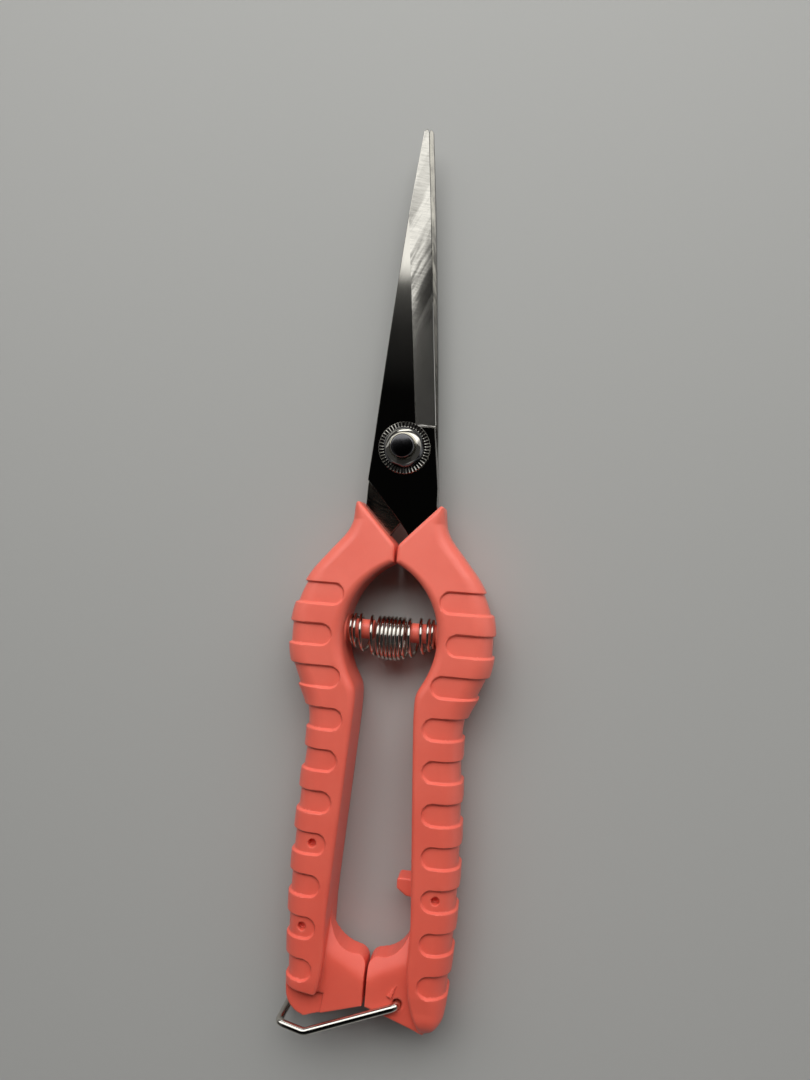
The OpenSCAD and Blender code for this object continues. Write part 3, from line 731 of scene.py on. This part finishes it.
profile = [(nut_bore, nut_low, False), (4.1, nut_low, True), (nut_corner, nut_low + 0.15, True),
           (nut_corner, shoulder(nut_corner) - 0.16, True), (4.22, shoulder(4.22) - 0.06, True),
           (4.14, shoulder(4.14), True)]
profile += [(r, shoulder(r), False) for r in (3.9, 3.7, 3.5, 3.3, 3.15, 3.0)]
profile += [(r, shoulder(2.9) - drop, False) for r, drop in ((2.9, 0.01), (2.8, 0.05),
                                                             (nut_bore, 0.3))]
points, faces = turned(profile, nut_sides, hexagon, bored=True)
nut = new_piece("rounded_nut", on_tool(points), [face[::-1] for face in faces],
                [bright, dark_end_and_painted_shade], "left_half")
nut.data.polygons.foreach_set("material_index",
                              [int(abs(face.normal[2]) < shade_steepness) for face in nut.data.polygons])
smooth(nut, 40)
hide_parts("pivot_nut")

# the washer: each tooth is a ridge between two grooves, rounded by the tumbling
teeth, washer_r, washer_low, washer_break, groove_depth = 46, 5.4, 2.28, 0.06, 0.13
groove = [0, 0, 0, 0, 0, 0.5, 1.0, 0.5]
around = teeth * len(groove)
rim_r = washer_r - washer_break
# (r, z, share of the groove's depth)
washer_profile = [(nut_bore, nut_low, 0), (4.1, nut_low, 0), (4.3, nut_low, 0), (4.5, nut_low, 0.9),
                  (5.15, nut_low, 1.0), (rim_r, nut_low, 0.7), (washer_r, nut_low - 0.08, 0.3),
                  (washer_r, washer_low + washer_break, 0), (rim_r, washer_low, 0),
                  (nut_bore, washer_low, 0)]
points = []
for r, z, share in washer_profile:
    for k in range(around):
        q = 2 * math.pi * k / around
        cut = groove_depth * share * groove[k % len(groove)]
        points.append((r * math.cos(q), r * math.sin(q), z - cut))
washer = new_piece("toothed_washer", on_tool(points),
                   band_faces(len(washer_profile), around, closed=True), [shaded_washer_steel],
                   "left_half")
smooth(washer, 12)
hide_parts("serrated_washer")

# ---------------------------------------------------------------- return spring
# A barrel of bright spring wire, closed coils in the middle and open ones at its
# ends, pushed over the two moulded pegs.

coils, wire_r, close_pitch, end_coil_d, mid_coil_d, bow = 16, 0.35, 0.84, 5.3, 8.7, 1.5
spring_half = seat_x - wire_r - 0.02


def wire_skin(path, radius, sides, start_dir):
    """Round wire along a path, with rounded ends and a frame that doesn't twist."""
    path = np.asarray(path, float)
    tangent = np.gradient(path, axis=0)
    tangent /= np.linalg.norm(tangent, axis=1)[:, None]
    u = np.cross(tangent[0], start_dir)
    frames = []
    for direction in tangent:
        u = u - direction * (u @ direction)
        u /= np.linalg.norm(u)
        frames.append((u, np.cross(direction, u)))
    # (centre, share of the radius, frame) of each ring, with two smaller ones at each end
    first, last = tangent[0] * radius, tangent[-1] * radius
    rings = [(path[0] - first * 0.25, 0.72, frames[0]), (path[0] - first * 0.1, 0.92, frames[0])]
    rings += [(centre, 1.0, pair) for centre, pair in zip(path, frames)]
    rings += [(path[-1] + last * 0.1, 0.92, frames[-1]), (path[-1] + last * 0.25, 0.72, frames[-1])]
    q = 2 * np.pi * np.arange(sides)[:, None] / sides
    points = np.concatenate([centre + share * radius * (np.cos(q) * u + np.sin(q) * v)
                             for centre, share, (u, v) in rings])
    faces = [face[:1] + face[:0:-1] for face in band_faces(len(rings), sides)]
    faces += [tuple(range(sides - 1, -1, -1)), tuple(range(len(points) - sides, len(points)))]
    return points, faces


def coil_path(steps):
    """The spring's centre line, with steps points to a coil."""
    half = (coils - 1) / 2
    u = np.arange(-half, half + 1e-6, 1 / steps)
    # the open coils are two soft jumps in the closed ones' pitch
    jump = (spring_half - close_pitch * half) / 2
    x = close_pitch * u + jump * (np.tanh(1.3 * (u - half * 0.6)) + np.tanh(1.3 * (u + half * 0.6)))
    s = np.clip(1 - np.abs(u) / (coils / 2) * 1.08, 0, 1)
    r = (end_coil_d + (mid_coil_d - end_coil_d) * (1 - (1 - s) ** 2.2)) / 2
    q = np.radians(360 * u + 90)
    sag = bow * np.cos(np.radians(90 * x / spring_half))
    return np.stack([x, peg_y - sag + r * np.cos(q), r * np.sin(q)], 1)


drawn_wire = steel("drawn_wire", (0.68, 0.65, 0.59), 0.09, (1200, 1200, 1200), 0.8e-6)
coil_steps, wire_sides = ((36, 14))
points, faces = wire_skin(coil_path(coil_steps), wire_r, wire_sides, (0, 0, 1))
spring = new_piece("barrel_spring", on_tool(points), faces, [drawn_wire])
smooth(spring)
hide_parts("return_spring")
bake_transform(spring)

# ---------------------------------------------------------------- bail
# One bright spring-steel wire: its two ends turn in the right heel, its legs run
# over both faces, and its cross wire hooks round the left handle. It hangs just
# off its catch, as it does before a thumb swings it home.

bail_r, bail_sides, off_catch = 0.78, 20, math.radians(18)
bail_x, bail_y = bail_hole
leg_run, leg_drop, leg_z, bail_end_z = 20, 1.6, 5.08, 1.2
cross_wire = (-18.1, -111.7, 4.5)
end_bend, leg_bend, cross_bend = 1.3, 0.8, 1.3


def rounded(points, radii, steps=10):
    """The path through points with each inner corner rounded."""
    points = [np.array(p, float) for p in points]
    path = [points[0]]
    for before, p, after, r in zip(points, points[1:], points[2:], radii):
        a = (before - p) / np.linalg.norm(before - p)
        b = (after - p) / np.linalg.norm(after - p)
        for s in np.linspace(0, 1, steps):
            path.append((1 - s) ** 2 * (p + a * r) + 2 * s * (1 - s) * p + s * s * (p + b * r))
    return path + [points[-1]]


front = [(bail_x, bail_y, bail_end_z), (bail_x, bail_y, leg_z),
         (bail_x - leg_run, bail_y - leg_drop, leg_z), cross_wire]
back = [(x, y, -z) for x, y, z in front[::-1]]
bends = [end_bend, leg_bend, cross_bend]
latched = np.array(rounded(front + back, bends + bends[::-1])) - [bail_x, bail_y, 0]
cos, sin = math.cos(off_catch), math.sin(off_catch)
hanging = latched @ [(cos, sin, 0), (-sin, cos, 0), (0, 0, 1)] + [bail_x, bail_y, 0]
points, faces = wire_skin(hanging, bail_r, bail_sides, (0, 1, 0))
bail = new_piece("catch_wire", on_tool(points), faces, [drawn_wire], "bail")
smooth(bail)
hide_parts("wire_bail")

# ---------------------------------------------------------------- studio
# A plain pale table under one wide soft light from beyond the blades' tips, in a
# room with bands of light, and a camera over the tool's right side.

pale_table = Finish("pale_table")
cloudy = pale_table.spread(pale_table.grain((2.0, 2.0, 2.0), detail=2.0), 0.3, 0.7, 0, 1)
darker, paler = (0.385, 0.386, 0.369, 1), (0.415, 0.413, 0.396, 1)
pale_table.surface(Base_Color=pale_table.blend(cloudy, darker, paler), Roughness=0.75)
reach = 3.0
table_corners = [(-reach, -reach, 0), (reach, -reach, 0), (reach, reach, 0), (-reach, reach, 0)]
table_top = new_piece("table_top", table_corners, [(0, 1, 2, 3)], [pale_table.material])

world = bpy.data.worlds.new("soft_room")
bpy.context.scene.world = world
world.use_nodes = True
room = NodeTree(world.node_tree)
direction = room.parts(room.node("ShaderNodeTexCoord").outputs["Generated"])

# the bands' (lean from overhead towards the tips in degrees, brightness); the
# lower edge of the widest climbs to the right
bands = [(-90, 0.20), (-82, 0.20), (-75, 0.016), (-50, 0.012), (-40, 0.001), (12, 0.001),
         (16, 0.012), (19.1, 0.045), (20.1, 0.80), (34, 0.80), (40, 1.1), (60, 1.1), (65, 0.06),
         (78, 0.06), (80.5, 1.3), (85, 1.3), (87, 0.06), (90, 0.06)]
band_blue, band_climb = 0.985, math.radians(11.2)
climb = room.spread(direction["X"], -0.154, 0.50, 0.0, band_climb, smooth=True)
lean = room.maths("SUBTRACT", room.maths("ARCTAN2", direction["Y"], direction["Z"]), climb)
ramp = room.node("ShaderNodeValToRGB")
ramp.color_ramp.interpolation = "LINEAR"
room.put(ramp.inputs[0], room.maths("ADD", room.maths("DIVIDE", lean, math.pi), 0.5))
stops = ramp.color_ramp.elements
while len(stops) < len(bands):
    stops.new(0.5)
for stop, (angle, level) in zip(stops, bands):
    stop.position = (angle + 90) / 180
    stop.color = (level, level, level * band_blue, 1)

# the bands fade towards both walls, and the lowest is there only in the middle and right
aside = room.maths("ABSOLUTE", direction["X"])
lit = room.maths("MULTIPLY", ramp.outputs[0],
                 room.spread(aside, 0.68, 0.85, 1.0, 0.25, smooth=True))
lowest = room.spread(lean, math.radians(66), math.radians(76), 0.0, 1.0, smooth=True)
from_left = room.spread(direction["X"], -0.55, -0.30, 0.0, 1.0, smooth=True)
hidden = room.maths("MULTIPLY", lowest, room.maths("SUBTRACT", 1.0, from_left))
lit = room.maths("MULTIPLY", lit, room.maths("SUBTRACT", 1.0, hidden))
# both walls are dim, and the foot of the right one is lit
lit = room.maths("MAXIMUM", lit, room.spread(aside, 0.35, 0.55, 0.0, 0.030, smooth=True))
right_wall = room.maths("MULTIPLY",
                        room.spread(direction["X"], 0.88, 0.96, 0.0, 0.45, smooth=True),
                        room.spread(direction["Z"], 0.22, 0.32, 1.0, 0.0, smooth=True))
lit = room.maths("MAXIMUM", lit, right_wall)
# seen directly, the room is one plain pale wall
plain_wall, room_strength = 0.21, 1.9
backdrop = room.node("ShaderNodeMix", data_type="FLOAT")
room.put(backdrop.inputs["Factor"], room.node("ShaderNodeLightPath").outputs["Is Camera Ray"])
room.put(backdrop.inputs["A"], lit)
room.put(backdrop.inputs["B"], plain_wall)
glow = room.tree.nodes["Background"]
room.put(glow.inputs["Color"], backdrop.outputs["Result"])
room.put(glow.inputs["Strength"], room_strength)

lamp_width, lamp_depth, lamp_power = 0.36, 0.26, 0.86
lamp_data = bpy.data.lights.new("soft_box", "AREA")
lamp_data.shape = "RECTANGLE"
lamp_data.size, lamp_data.size_y, lamp_data.energy = lamp_width, lamp_depth, lamp_power
lamp = bpy.data.objects.new("soft_box", lamp_data)
bpy.context.scene.collection.objects.link(lamp)
lamp.location = (0.0, 0.25, 0.27)
lamp.rotation_euler = (math.radians(-42), 0, 0)
lamp.visible_glossy = False

# the lens is wide: its focal length is three quarters of the frame's long side
sensor_width, focal_share = 36.0, 811 / 1080
camera_place, camera_turn = (24.917, -22.836, 168.772), (1.861206, 7.906737, 4.201513)
camera_data = bpy.data.cameras.new("camera")
camera = bpy.data.objects.new("camera", camera_data)
bpy.context.scene.collection.objects.link(camera)
camera_data.sensor_fit = "AUTO"
camera_data.sensor_width = sensor_width
camera_data.lens = sensor_width * focal_share
camera_data.clip_start, camera_data.clip_end = 0.01, 20
camera.location = tuple(on_tool(camera_place))
camera.rotation_euler = [math.radians(angle) for angle in camera_turn]
bpy.context.scene.camera = camera
bpy.context.scene.view_settings.view_transform = "Standard"
